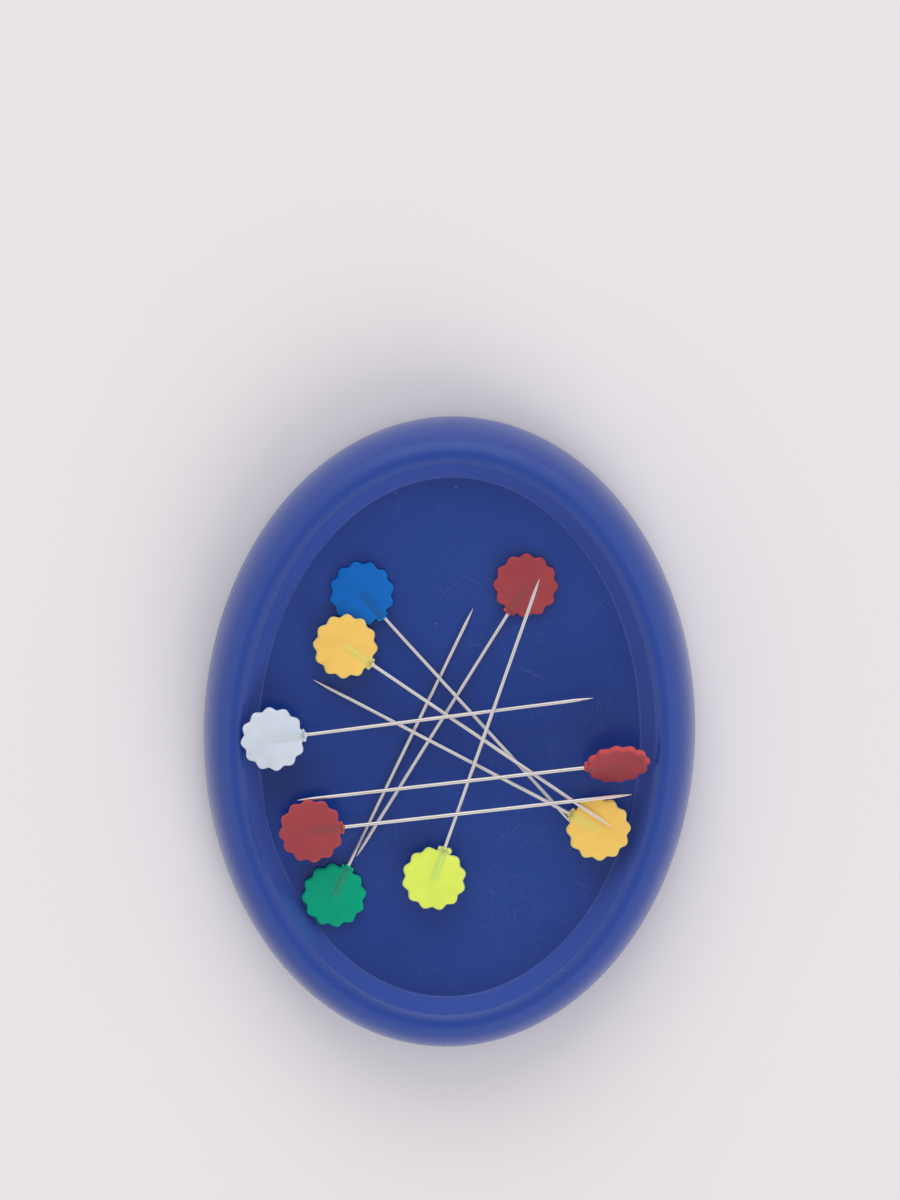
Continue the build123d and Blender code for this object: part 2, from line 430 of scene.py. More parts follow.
@dataclass(frozen=True)
class TrayGloss(Finish):
    """Glossy deep blue moulded plastic with hairlines, dust, a slight haze, and painted light on rim and
    wall.
    """

    body: Colour = (0.012, 0.050, 0.285, 1.0)
    deep: Colour = (0.009, 0.040, 0.240, 1.0)
    # Painted light: the rim, from its crest outwards, is painted this lighter blue for light that scatters
    # through it.
    edge: Colour = (0.017, 0.058, 0.315, 1.0)
    # Painted sheen: the inner wall is painted this paler blue, as if it caught the light.
    wall: Colour = (0.050, 0.098, 0.405, 1.0)
    dust: Colour = (0.28, 0.33, 0.52, 1.0)
    haze_scale: float = 26.0
    hairs: Pair = (70.0, 0.22)
    specks: Pair = (430.0, 0.085)
    relief: Pair = (0.12, 0.03 * MM)
    gloss: Pair = (0.17, 0.25)
    hair_strength: float = 0.13
    hair_roughness: float = 0.25
    dust_strength: float = 0.75

    def shade(self, wiring: Wiring) -> Node:
        """Wires the blue plastic.

        Args:
            wiring: The material's wiring.

        Returns:
            The surface shader.
        """
        place = wiring.place()
        haze = wiring.noise(place, self.haze_scale, detail=4.0, roughness=0.55)
        scratches = wiring.wear(Scratches, place, *self.hairs)
        dust = wiring.wear(Dust, place, *self.specks)
        grain = wiring.group(Grain, Vector=place, Scale=900.0, Swell=0.6)
        colour = wiring.mix(wiring.step(haze, *NARROW), self.deep, self.body)
        # Painted light: a lighter rim, and a painted sheen on the inner wall.
        colour = wiring.mix(wiring.mask(BowlShell.RIM_LIGHT), colour, self.edge)
        colour = wiring.mix(wiring.mask(BowlShell.WALL_SHEEN), colour, self.wall)
        colour = wiring.laid(scratches, self.hair_strength, colour, self.dust)
        colour = wiring.laid(dust, self.dust_strength, colour, self.dust)
        haired = wiring.math("MULTIPLY", scratches, self.hair_roughness)
        roughness = wiring.math("ADD", wiring.step(haze, *BROAD, *self.gloss), haired)
        normal = wiring.bump(grain.outputs["Height"], *self.relief)
        return wiring.surface(colour, roughness, Normal=normal, IOR=1.5)


@dataclass(frozen=True)
class PetalPlastic(Finish):
    """Translucent satin plastic of one pin head's colour."""

    body: Colour
    # A lighter colour painted along the edge as glow; dust specks take it too.
    rim: Colour
    # Where the wire shows through, painted darker as shade.
    streak: Colour
    specks: Pair = (900.0, 0.09)
    relief: Pair = (0.2, 0.02 * MM)
    dust_strength: float = 0.35

    def shade(self, wiring: Wiring) -> Node:
        """Wires the petal plastic, with the masks of its painted glow and the wire's painted shade from
        the mesh.

        Args:
            wiring: The material's wiring.

        Returns:
            The surface shader.
        """
        place = wiring.own_place()
        tint = wiring.group(
            Tint, Vector=place, Rim=wiring.mask(PinHead.RIM_LIGHT), Streak=wiring.mask(PinHead.SEEN_WIRE_SHADE),
            Body_Colour=self.body, Rim_Colour=self.rim, Streak_Colour=self.streak,
        ).outputs
        dust = wiring.wear(Dust, place, *self.specks)
        return wiring.surface(
            wiring.laid(dust, self.dust_strength, tint["Colour"], self.rim),
            tint["Roughness"],
            Normal=wiring.bump(tint["Height"], *self.relief),
            IOR=1.46,
            Specular_IOR_Level=0.2,
            Subsurface_Weight=0.6,
            Subsurface_Radius=(1.0, 0.8, 0.6),
            Subsurface_Scale=1.1 * MM,
        )


@dataclass(frozen=True)
class PlatedWire(Finish):
    """Nickel-plated steel wire, drawn along its length, with a ground point."""

    bright: Colour = (1.0, 0.945, 0.875, 1.0)
    dull: Colour = (0.88, 0.825, 0.76, 1.0)
    drawn_scale: float = 140.0
    drawn_stretch: float = 60.0
    relief: Pair = (0.15, 0.01 * MM)
    stain_scale: float = 480.0
    stain_span: Pair = (0.62, 0.8)
    stain_strength: float = 0.35
    gloss: Pair = (0.26, 0.36)

    def shade(self, wiring: Wiring) -> Node:
        """Wires the drawn metal.

        Args:
            wiring: The material's wiring.

        Returns:
            The surface shader.
        """
        place = wiring.own_place()
        pull = (1, self.drawn_stretch, self.drawn_stretch)
        along = wiring.add("Mapping", {"Vector": place, "Scale": pull}).outputs[0]
        drawn = wiring.noise(along, self.drawn_scale, detail=2.0, roughness=0.6)
        stain = wiring.noise(place, self.stain_scale, detail=3.0)
        colour = wiring.mix(wiring.step(drawn, *NARROW), self.dull, self.bright)
        stained = wiring.step(stain, *self.stain_span, 0.0, self.stain_strength)
        colour = wiring.mix(stained, colour, self.dull)
        roughness = wiring.step(drawn, *BROAD, *self.gloss)
        normal = wiring.bump(drawn, *self.relief)
        return wiring.surface(colour, roughness, Normal=normal, Metallic=1.0)


@dataclass(frozen=True)
class CoverPlastic(Finish):
    """Fine-grained matt plastic of the base cover, with scuffs from the table."""

    body: Colour = (0.014, 0.032, 0.16, 1.0)
    scuff: Colour = (0.09, 0.12, 0.26, 1.0)
    hairs: Pair = (70.0, 0.42)
    specks: Pair = (500.0, 0.09)
    relief: Pair = (0.5, 0.04 * MM)
    hair_strength: float = 0.5
    dust_strength: float = 0.4
    gloss: Pair = (0.46, 0.6)

    def shade(self, wiring: Wiring) -> Node:
        """Wires the grained plastic.

        Args:
            wiring: The material's wiring.

        Returns:
            The surface shader.
        """
        place = wiring.place()
        grain = wiring.group(Grain, Vector=place, Scale=2600.0, Swell=0.5)
        scratches = wiring.wear(Scratches, place, *self.hairs)
        dust = wiring.wear(Dust, place, *self.specks)
        colour = wiring.laid(scratches, self.hair_strength, self.body, self.scuff)
        colour = wiring.laid(dust, self.dust_strength, colour, self.scuff)
        roughness = wiring.step(grain.outputs["Tone"], *WIDE, *self.gloss)
        normal = wiring.bump(grain.outputs["Height"], *self.relief)
        return wiring.surface(colour, roughness, Normal=normal)


@dataclass(frozen=True)
class Speckled(Finish):
    """A dull pored material in two tones: pressed ferrite, foam or rubber."""

    light: Colour
    dark: Colour
    pores: float
    depth: float
    roughness: float
    roughness_swing: float = 0.08
    pore_span: Pair = (0.1, 0.45)
    pore_strength: float = 0.6
    specks: Pair = (600.0, 0.08)
    dust: Colour = (0.4, 0.4, 0.4, 1.0)
    dust_strength: float = 0.3

    def shade(self, wiring: Wiring) -> Node:
        """Wires the two tones, the pores and some dust.

        Args:
            wiring: The material's wiring.

        Returns:
            The surface shader.
        """
        place = wiring.place()
        grain = wiring.group(Grain, Vector=place, Scale=self.pores * 2, Swell=0.5).outputs
        cells = wiring.add("TexVoronoi", {"Vector": place, "Scale": self.pores}).outputs["Distance"]
        pore = wiring.step(cells, *self.pore_span)
        colour = wiring.laid(pore, grain["Tone"], self.dark, self.light)
        dust = wiring.wear(Dust, place, *self.specks)
        colour = wiring.laid(dust, self.dust_strength, colour, self.dust)
        low = self.roughness - self.roughness_swing
        high = self.roughness + self.roughness_swing
        roughness = wiring.step(grain["Tone"], *WIDE, low, high)
        height = wiring.math("MULTIPLY", pore, grain["Height"])
        normal = wiring.bump(height, self.pore_strength, self.depth)
        return wiring.surface(colour, roughness, Normal=normal)


class PetalColour(Enum):
    """The colours that the pins' heads come in."""

    # Each head: its body colour, a lighter colour painted on the rim as glow, and the wire's painted
    # shade.
    GREEN = PetalPlastic(
        "green_petals", "green_head", (0.0, 0.40, 0.225, 1), (0.0, 0.50, 0.29, 1), (0.032, 0.31, 0.185, 1)
    )
    RED = PetalPlastic(
        "red_petals", "red_head", (0.40, 0.070, 0.080, 1), (0.60, 0.090, 0.098, 1), (0.32, 0.082, 0.080, 1)
    )
    BLUE = PetalPlastic(
        "blue_petals", "blue_head", (0.006, 0.155, 0.55, 1), (0.008, 0.24, 0.70, 1), (0.012, 0.12, 0.38, 1)
    )
    YELLOW = PetalPlastic(
        "yellow_petals", "yellow_head", (1.0, 0.62, 0.155, 1), (1.0, 0.72, 0.26, 1), (0.78, 0.68, 0.18, 1)
    )
    WHITE = PetalPlastic(
        "white_petals", "white_head", (0.66, 0.72, 0.80, 1), (0.78, 0.84, 0.94, 1), (0.60, 0.67, 0.71, 1)
    )
    LIME = PetalPlastic(
        "lime_petals", "lime_head", (0.78, 0.92, 0.14, 1), (0.80, 0.97, 0.26, 1), (0.60, 0.80, 0.20, 1)
    )

    @classmethod
    def of_pin(cls, name: str) -> "PetalColour":
        """Returns the colour that a pin's name starts with."""
        return cls[name.split("_")[0].upper()]


# Meshes


@dataclass
class Draft:
    """The points, faces and point masks of a mesh while it is being made."""

    OWN_PLACE = "own_place"

    points: list[Vector] = field(default_factory=list)
    faces: list[tuple[int, ...]] = field(default_factory=list)
    masks: dict[str, list[float]] = field(default_factory=dict)

    def skin(
        self, rings: Sequence[Ring], start: Vector | None = None, end: Vector | None = None
    ) -> None:
        """Joins closed rings of equally many points with quads.

        Args:
            rings: The rings, in order along the surface.
            start: A point that closes the surface before the first ring.
            end: A point that closes it after the last ring.
        """
        count = len(rings[0])
        base = len(self.points)
        for ring in rings:
            self.points.extend(ring)
        for row in range(len(rings) - 1):
            for column in range(count):
                near = base + row * count
                far = near + count
                after = (column + 1) % count
                self.faces.append((near + column, near + after, far + after, far + column))
        for pole, row in ((start, 0), (end, len(rings) - 1)):
            if pole is not None:
                self.points.append(pole)
                first = base + row * count
                for column in range(count):
                    after = first + (column + 1) % count
                    self.faces.append((first + column, after, len(self.points) - 1))

    def mask(self, name: str, rule: Callable[[Vector], float] | float) -> None:
        """Sets a mask on the points that don't have it yet.

        Args:
            name: The mask's name.
            rule: Gives the mask's value at a point, or is that value.
        """
        values = self.masks.setdefault(name, [])
        for point in self.points[len(values):]:
            values.append(rule(point) if callable(rule) else rule)

    def finished(self, name: str, sharp_degrees: float, axes: Matrix | None = None) -> Piece:
        """Makes the object.

        Args:
            name: The piece's name.
            sharp_degrees: Edges that turn more than this stay sharp.
            axes: Where the points' own axes stand. The mesh keeps the points' own coordinates too.

        Returns:
            The new object, linked to the scene.
        """
        mesh = bpy.data.meshes.new(name)
        mesh.from_pydata(self.points, [], self.faces)
        for mask, values in self.masks.items():
            mesh.attributes.new(mask, "FLOAT", "POINT").data.foreach_set("value", values)
        if axes is not None:
            kept = mesh.attributes.new(self.OWN_PLACE, "FLOAT_VECTOR", "POINT")
            kept.data.foreach_set("vector", [number for point in self.points for number in point])
            mesh.transform(axes)
        outward = bmesh.new()
        outward.from_mesh(mesh)
        bmesh.ops.recalc_face_normals(outward, faces=outward.faces)
        outward.to_mesh(mesh)
        outward.free()
        mesh.shade_smooth()
        mesh.set_sharp_from_angle(angle=radians(sharp_degrees))
        return linked(name, mesh)


def linked(name: str, data: bpy.types.ID) -> Piece:
    """Makes an object and links it to the scene.

    Args:
        name: The object's name.
        data: Its mesh, lamp or camera data.

    Returns:
        The object.
    """
    made = bpy.data.objects.new(name, data)
    bpy.context.scene.collection.objects.link(made)
    return made


def arc_points(centre: Pair, radii: Pair | float, start: float, turn: float, steps: int) -> list[Pair]:
    """Points along an arc of a circle or an upright ellipse, both ends included.

    Args:
        centre: The arc's centre.
        radii: Its radius, or its two radii.
        start: The first point's angle, in degrees.
        turn: How far the arc turns, in degrees.
        steps: How many spans it has.

    Returns:
        The points.
    """
    across, along = radii if isinstance(radii, tuple) else (radii, radii)
    points = []
    for step in range(steps + 1):
        angle = radians(start + turn * step / steps)
        points.append((centre[0] + across * cos(angle), centre[1] + along * sin(angle)))
    return points


def circle(count: int) -> list[Pair]:
    """The cosines and sines of equal steps round a full turn."""
    angles = [2 * pi * step / count for step in range(count)]
    return [(cos(angle), sin(angle)) for angle in angles]


def wire_ring(x: float, radius: float, count: int) -> Ring:
    """A circle of points round a pin's own X axis."""
    return [Vector((x, radius * across, radius * up)) for across, up in circle(count)]


def upright_ring(centre: Pair, radius: float, height: float, count: int) -> Ring:
    """A level circle of points."""
    x, y = centre
    return [Vector((x + radius * across, y + radius * along, height)) for across, along in circle(count)]


@dataclass
class BowlShell:
    """The tray: broad rounded rim, steep inner wall and flat floor, hollow underneath."""

    # Masks of painted light: the lighter rim and the painted sheen on the inner wall.
    RIM_LIGHT = "tray_rim_light"
    WALL_SHEEN = "tray_wall_sheen"

    rim_width: float = 8.8 * MM
    wall_run: float = 1.85 * MM
    wall_rise: float = 3.6 * MM
    crest_inset: float = 5.0 * MM
    skirt_tuck: float = 0.4 * MM
    shell_wall: float = 1.8 * MM
    floor_thickness: float = 1.8 * MM
    cover_thickness: float = 1.8 * MM
    floor_corner: float = 0.5 * MM
    wall_soft: float = 0.7 * MM
    wall_end: float = 0.15 * MM
    wall_end_soft: float = 0.25 * MM
    skirt_corner: float = 0.25 * MM
    ring_gap: float = 0.2 * MM
    ring_wall: float = 1.4 * MM
    ring_depth: float = 3.0 * MM
    rib_thickness: float = 1.2 * MM
    boss_radius: float = 2.6 * MM
    boss_bore: float = 1.45 * MM
    boss_gap: float = 0.6 * MM
    boss_angle: float = 55.0
    embed: float = 0.2 * MM
    floor_shares: tuple[float, ...] = (0.25, 0.5, 0.75)
    under_shares: tuple[float, ...] = (0.66, 0.33)
    corner_spans: int = 6
    crest_spans: int = 14
    shoulder_spans: int = 30
    foot_spans: int = 4
    under_spans: tuple[int, int] = (12, 8)
    stations: int = 320
    tube_sides: int = 48
    sharp_degrees: float = 30.0
    finish: TrayGloss = TrayGloss("tray_gloss", "blue_tray")

    def __post_init__(self) -> None:
        """Takes the outer sizes from the frame and works out the rim's section."""
        low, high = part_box("bowl_shell")
        magnet_low, magnet_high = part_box("magnet")
        self.half_width = min(high.x, -low.x)
        self.half_length = min(high.y, -low.y)
        self.skirt_bottom = low.z
        self.crest_top = high.z
        self.cover_top = low.z + self.cover_thickness
        self.floor_under = magnet_high.z
        self.floor_top = self.floor_under + self.floor_thickness
        self.magnet_radius = (magnet_high.x - magnet_low.x) / 2
        self.wall_angle = atan2(self.wall_rise, self.wall_run)
        self.wall_degrees = self.wall_angle * 180 / pi
        self.crest_turn = 90 + self.wall_degrees
        self.crest_radius = (self.rim_width - self.wall_run - self.crest_inset) / sin(self.wall_angle)

    def top_section(self) -> list[Pair]:
        """Works out the outer side, from the floor's edge over the rim to the skirt's foot.

        Returns:
            Its points: the offset from the outline and the height.
        """
        reach = self.floor_corner * tan(self.wall_angle / 2)
        centre = (-self.rim_width - reach, self.floor_top + self.floor_corner)
        corner = arc_points(centre, self.floor_corner, -90, self.wall_degrees, self.corner_spans)
        centre = (-self.crest_inset, self.crest_top - self.crest_radius)
        turn = -self.wall_degrees
        crest = arc_points(centre, self.crest_radius, self.crest_turn, turn, self.crest_spans)
        centre = (-self.crest_inset, self.cover_top)
        radii = (self.crest_inset, self.crest_top - self.cover_top)
        shoulder = arc_points(centre, radii, 90, -90, self.shoulder_spans)
        centre = (-self.skirt_tuck - self.skirt_corner, self.skirt_bottom + self.skirt_corner)
        foot = arc_points(centre, self.skirt_corner, 0, -90, self.foot_spans)
        return corner + crest + shoulder[1:] + foot

    def under_section(self) -> list[Pair]:
        """Works out the inner side, from the skirt's foot up under the rim to the floor.

        Returns:
            Its points: the offset from the outline and the height.
        """
        inner = -self.shell_wall
        skirt = [(inner, self.skirt_bottom), (inner, self.cover_top)]
        centre = (-self.crest_inset, self.cover_top)
        height = self.crest_top - self.shell_wall - self.cover_top
        radii = (self.crest_inset - self.shell_wall, height)
        shoulder = arc_points(centre, radii, 0, 90, self.under_spans[0])
        centre = (-self.crest_inset, self.crest_top - self.crest_radius)
        radius = self.crest_radius - self.shell_wall
        crest = arc_points(centre, radius, 90, self.wall_degrees, self.under_spans[1])
        slant = self.shell_wall / sin(self.wall_angle)
        inset = self.rim_width - slant + self.floor_thickness / tan(self.wall_angle)
        return skirt + shoulder[1:] + crest[1:] + [(-inset, self.floor_under)]

    def ring(self, offset: float, height: float, scale: float = 1.0) -> Ring:
        """Points on a curve parallel to the bowl's outline.

        Args:
            offset: The distance outwards from the outline.
            height: The curve's height.
            scale: How far the curve is shrunk towards the bowl's middle.

        Returns:
            The ring.
        """
        points = []
        for cosine, sine in circle(self.stations):
            across = self.half_length * cosine
            along = self.half_width * sine
            size = hypot(across, along)
            x = self.half_width * cosine + offset * across / size
            y = self.half_length * sine + offset * along / size
            points.append(Vector((x * scale, y * scale, height)))
        return points

    def rim_share(self, inside: float) -> float:
        """How far up the rim a ring lies, so far inside the outline: 1 from the crest outwards. It sets
        the rim's painted light.
        """
        wall_start = self.rim_width - self.wall_run
        return min(1.0, max(0.0, (wall_start - inside) / (wall_start - self.crest_inset)))

    def wall_share(self, inside: float) -> float:
        """How far a ring lies on the inner wall, where the painted sheen goes.

        Args:
            inside: How far inside the outline the ring lies.

        Returns:
            The share: 1 on the wall, 0 off it.
        """
        entered = (inside - self.rim_width + self.wall_run + self.wall_soft) / self.wall_soft
        left = (self.rim_width + self.wall_end - inside) / self.wall_end_soft
        return min(1.0, max(0.0, min(entered, left)))

    def tube(self, draft: Draft, centre: Pair, outer: float, inner: float, foot: float) -> None:
        """Adds an upright tube whose upper end is sunk in the floor.

        Args:
            draft: Takes the tube.
            centre: The tube's place.
            outer: The outer radius.
            inner: The radius of the bore.
            foot: The height of the tube's lower end.
        """
        top = self.floor_under + self.embed
        corners = ((inner, top), (outer, top), (outer, foot), (inner, foot))
        first = len(draft.points)
        draft.skin([upright_ring(centre, *corner, self.tube_sides) for corner in corners])
        last = len(draft.points) - self.tube_sides
        for column in range(self.tube_sides):
            after = (column + 1) % self.tube_sides
            draft.faces.append((last + column, last + after, first + after, first + column))

    def rib(self, draft: Draft, start: Vector, end: Vector) -> None:
        """Adds a rib under the floor.

        Args:
            draft: Takes the rib.
            start: The middle of its inner end, at the height of its lower edge.
            end: The middle of its outer end, at that height.
        """
        side = (end - start).normalized().cross(Vector((0, 0, 1))) * self.rib_thickness / 2
        rise = Vector((0, 0, self.floor_under + self.embed - start.z))
        base = len(draft.points)
        for corner in (start - side, start + side, end + side, end - side):
            draft.points.append(corner)
            draft.points.append(corner + rise)
        walls = [(0, 2, 3, 1), (2, 4, 5, 3), (4, 6, 7, 5), (6, 0, 1, 7), (0, 6, 4, 2), (1, 3, 5, 7)]
        draft.faces.extend(tuple(base + index for index in wall) for wall in walls)

    def build(self) -> Piece:
        """Makes the tray with the ring, bosses and ribs under its floor, and dresses it.

        Returns:
            The tray.
        """
        draft = Draft()
        top, under = self.top_section(), self.under_section()
        hollow = under[-1][0]
        rings = [self.ring(top[0][0], self.floor_top, share) for share in self.floor_shares]
        rings += [self.ring(offset, height) for offset, height in top + under]
        rings += [self.ring(hollow, self.floor_under, share) for share in self.under_shares]
        draft.skin(rings, Vector((0, 0, self.floor_top)), Vector((0, 0, self.floor_under)))
        self.build_supports(draft, hollow)
        # The rim's painted light and the wall's painted sheen, as masks on the points.
        for mask, rule in ((self.RIM_LIGHT, self.rim_share), (self.WALL_SHEEN, self.wall_share)):
            shares = [0.0 for _ in self.floor_shares] + [rule(-offset) for offset, _ in top]
            draft.masks[mask] = [share for share in shares for _ in range(self.stations)]
            draft.mask(mask, 0.0)
        piece = draft.finished("tray_shell", self.sharp_degrees)
        self.finish.dress(piece)
        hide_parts("bowl_shell")
        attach(piece, "bowl")
        return piece

    def build_supports(self, draft: Draft, hollow: float) -> None:
        """Adds the magnet's ring, the bosses for the cover's pegs and the four ribs.

        Args:
            draft: Takes them.
            hollow: The offset of the hollow's wall at the floor.
        """
        foot = self.floor_under - self.ring_depth
        inner = self.magnet_radius + self.ring_gap
        outer = inner + self.ring_wall
        self.tube(draft, (0, 0), outer, inner, foot)
        away = outer + self.boss_gap + self.boss_radius
        x, y = away * cos(radians(self.boss_angle)), away * sin(radians(self.boss_angle))
        for centre in ((x, y), (-x, y), (-x, -y), (x, -y)):
            self.tube(draft, centre, self.boss_radius, self.boss_bore, self.cover_top)
        start = outer - self.ring_wall / 2
        lift = Vector((0, 0, foot))
        for half, way in ((self.half_width, Vector((1, 0, 0))), (self.half_length, Vector((0, 1, 0)))):
            end = half + hollow + self.embed
            for side in (-1, 1):
                self.rib(draft, way * side * start + lift, way * side * end + lift)


@dataclass(frozen=True)
class PinPlace:
    """Where the frame holds one pin: its name, its own axes and its wire's length."""

    name: str
    axes: Matrix
    length: float

    @staticmethod
    def points(node: str) -> np.ndarray:
        """Reads a frame node's points.

        Args:
            node: The node's name.

        Returns:
            The points, each once.
        """
        mesh = frame["nodes"][node].data
        flat = np.empty(len(mesh.vertices) * 3, np.float32)
        mesh.vertices.foreach_get("co", flat)
        return np.unique(np.round(flat.reshape(-1, 3).astype(float), decimals=7), axis=0)

    @classmethod
    def from_frame(cls, name: str) -> "PinPlace":
        """Finds a pin in the frame.

        The origin of its axes is the wire's blunt end, in the head's middle. X runs along the
        wire and Z stands on the head's face.

        Args:
            name: The pin's name.

        Returns:
            The pin's place.
        """
        wire = cls.points(f"pin_{name}_wire")
        along = np.linalg.svd(wire - wire.mean(0), full_matrices=False)[2][0]
        travel = wire @ along
        end_depth = 0.02 * MM
        ends = [wire[travel < travel.min() + end_depth], wire[travel > travel.max() - end_depth]]
        ends.sort(key=lambda end: np.ptp(end, axis=0).max(), reverse=True)
        head, tip = (end.mean(0) for end in ends)
        x_axis = Vector(tip - head).normalized()
        plate = cls.points(f"pin_{name}_head")
        plate = plate - plate.mean(0)
        flat = plate - np.outer(plate @ np.array(x_axis), np.array(x_axis))
        across = Vector(np.linalg.svd(flat, full_matrices=False)[2][0])
        z_axis = x_axis.cross(across).normalized()
        if z_axis.z < 0:
            z_axis = -z_axis
        y_axis = z_axis.cross(x_axis)
        turn = Matrix((x_axis, y_axis, z_axis)).transposed().to_4x4()
        return cls(name, Matrix.Translation(Vector(head)) @ turn, float(np.linalg.norm(tip - head)))


@dataclass
class PinHead:
    """A scalloped plate with a sleeve round the wire and an ear on each side of its mouth."""

    # Masks of the painted glow along the edge and of the painted shade where the wire shows through.
    RIM_LIGHT = "rim"
    SEEN_WIRE_SHADE = "streak"

    petal_count: int = 12
    petal_steps: int = 16
    petal_radius: float = 5.05 * MM
    notch_radius: float = 4.55 * MM
    plate_under: float = 0.5 * MM
    plate_above: float = 0.6 * MM
    top_round: float = 0.42 * MM
    under_round: float = 0.4 * MM
    petal_fullness: float = 0.8
    face_shares: tuple[float, ...] = (0.08, 0.16, 0.25, 0.34, 0.43, 0.52, 0.61, 0.7, 0.78, 0.86, 0.93)
    round_spans: tuple[int, int] = (3, 7)
    # How far in from the edge the painted glow reaches.
    painted_glow_width: float = 0.3 * MM
    sleeve_radius: float = 0.7 * MM
    sleeve_length: float = 5.3 * MM
    sleeve_round: float = 0.15 * MM
    mouth_share: float = 0.72
    hidden_share: float = 0.86
    root_shares: Pair = (0.8, 0.86)
    lip_spans: int = 5
    sleeve_sides: int = 40
    # The sleeve and ears take most of the painted glow and a little of the wire's painted shade.
    sleeve_painted_glow: float = 0.9
    sleeve_seen_wire_shade: float = 0.1
    # Band where the wire shows through, painted darker as shade.
    streak_half: float = 0.55 * MM
    streak_soft: float = 0.2 * MM
    seen_wire_shade_strength: float = 0.85
    ear_radius: float = 0.5 * MM
    ear_shares: Pair = (0.6, 0.38)
    lime_ear_shares: Pair = (1.0, 0.62)
    ear_inset: float = 0.2 * MM
    ear_spread: float = 0.72 * MM
    ear_above: float = 0.4 * MM
    ear_under: float = 0.46 * MM
    ear_round: float = 0.15 * MM
    ear_sides: int = 32
    ear_spans: int = 4
    sharp_degrees: float = 32.0

    def petal_edge(self, angle: float) -> float:
        """Distance from the head's middle to its wavy edge, at an angle in radians."""
        wave = (1 + cos(self.petal_count * angle)) / 2
        return self.notch_radius + (self.petal_radius - self.notch_radius) * wave**self.petal_fullness

    def ridge(self, x: float, y: float, surface: float) -> float:
        """How far the sleeve stands out of the plate.

        Args:
            x: Place along the wire.
            y: Place across it.
            surface: The plate's surface there, from the wire's axis.

        Returns:
            The sleeve's height above that surface.
        """
        back = min(0.0, x)
        room = self.sleeve_radius**2 - y**2 - back**2
        return max(0.0, sqrt(room) - surface) if room > 0 else 0.0

    def plate_ring(self, inset: float, height: float, share: float = 1.0, side: int = 0) -> Ring:
        """A ring of the plate's surface.

        Args:
            inset: How far inside the scalloped edge it runs.
            height: Its height above the wire's axis.
            share: How far out it lies, as a share.
            side: 1 on the upper face, -1 on the lower one, 0 on the edge.

        Returns:
            The ring.
        """
        points = []
        count = self.petal_count * self.petal_steps
        for step in range(count):
            angle = 2 * pi * step / count
            reach = (self.petal_edge(angle) - inset) * share
            x = reach * cos(angle)
            y = reach * sin(angle)
            lift = side * self.ridge(x, y, abs(height)) if side else 0.0
            points.append(Vector((x, y, height + lift)))
        return points

    def add_plate(self, draft: Draft) -> None:
        """Adds the plate, its upper edge well rounded and its lower edge slightly.

        Args:
            draft: Takes the plate.
        """
        radius, face = self.under_round, -self.plate_under
        rings = [self.plate_ring(radius, face, share, -1) for share in self.face_shares]
        edge = arc_points((radius, radius + face), radius, -90, -90, self.round_spans[0])
        radius, face = self.top_round, self.plate_above
        edge += arc_points((radius, face - radius), radius, 180, -90, self.round_spans[1])
        rings += [self.plate_ring(inset, height) for inset, height in edge]
        rings += [self.plate_ring(radius, face, share, 1) for share in reversed(self.face_shares)]
        under_pole = -self.plate_under - self.ridge(0, 0, self.plate_under)
        upper_pole = self.plate_above + self.ridge(0, 0, self.plate_above)
        draft.skin(rings, Vector((0, 0, under_pole)), Vector((0, 0, upper_pole)))

    def painted_glow_at(self, point: Vector) -> float:
        """How strongly the painted glow at the edge shows.

        Args:
            point: A point of the plate.

        Returns:
            The glow's share, from 0 to 1.
        """
        edge = self.petal_edge(atan2(point.y, point.x))
        depth = edge - hypot(point.x, point.y)
        return max(0.0, 1 - depth / self.painted_glow_width) ** 2

    def seen_wire_shade_at(self, point: Vector) -> float:
        """How strongly the wire shows through, painted darker as shade.

        Args:
            point: A point of the plate.

        Returns:
            The streak's share, from 0 to 1.
        """
        beside = max(0.0, abs(point.y) - self.streak_half) / self.streak_soft
        behind = max(0.0, -point.x) / self.streak_soft
        return max(0.0, 1 - hypot(beside, behind)) * self.seen_wire_shade_strength

    def add_sleeve(self, draft: Draft) -> None:
        """Adds the sleeve's mouth, which stands out past the plate's edge.

        Args:
            draft: Takes the mouth.
        """
        mouth = self.mouth_share * self.sleeve_radius
        hidden = self.hidden_share * self.sleeve_radius
        start, full = (share * self.petal_radius for share in self.root_shares)
        centre = (self.sleeve_length - self.sleeve_round, mouth - self.sleeve_round)
        lip = arc_points(centre, self.sleeve_round, 90, -90, self.lip_spans)
        profile = [(start, hidden / 2), (full, hidden)] + lip
        rings = [wire_ring(x, radius, self.sleeve_sides) for x, radius in profile]
        draft.skin(rings, Vector((start, 0, 0)), Vector((self.sleeve_length, 0, 0)))

    def add_ear(self, draft: Draft, side: int, ear_radius: float) -> None:
        """Adds the ear on one side of the mouth.

        Args:
            draft: Takes the ear.
            side: 1 for the left of the wire, -1 for the right.
            ear_radius: The ear's radius.
        """
        place = (self.petal_radius - self.ear_inset, side * self.ear_spread)
        centre = (ear_radius - self.ear_round, self.ear_above - self.ear_round)
        upper = arc_points(centre, self.ear_round, 0, 90, self.ear_spans)
        profile = [(ear_radius, -self.ear_under)] + upper
        rings = [upright_ring(place, radius, height, self.ear_sides) for radius, height in profile]
        draft.skin(rings, Vector((*place, -self.ear_under)), Vector((*place, self.ear_above)))

    def build(self, place: PinPlace) -> Piece:
        """Makes one pin's head and dresses it.

        Args:
            place: The pin's place in the frame.

        Returns:
            The head.
        """
        draft = Draft()
        self.add_plate(draft)
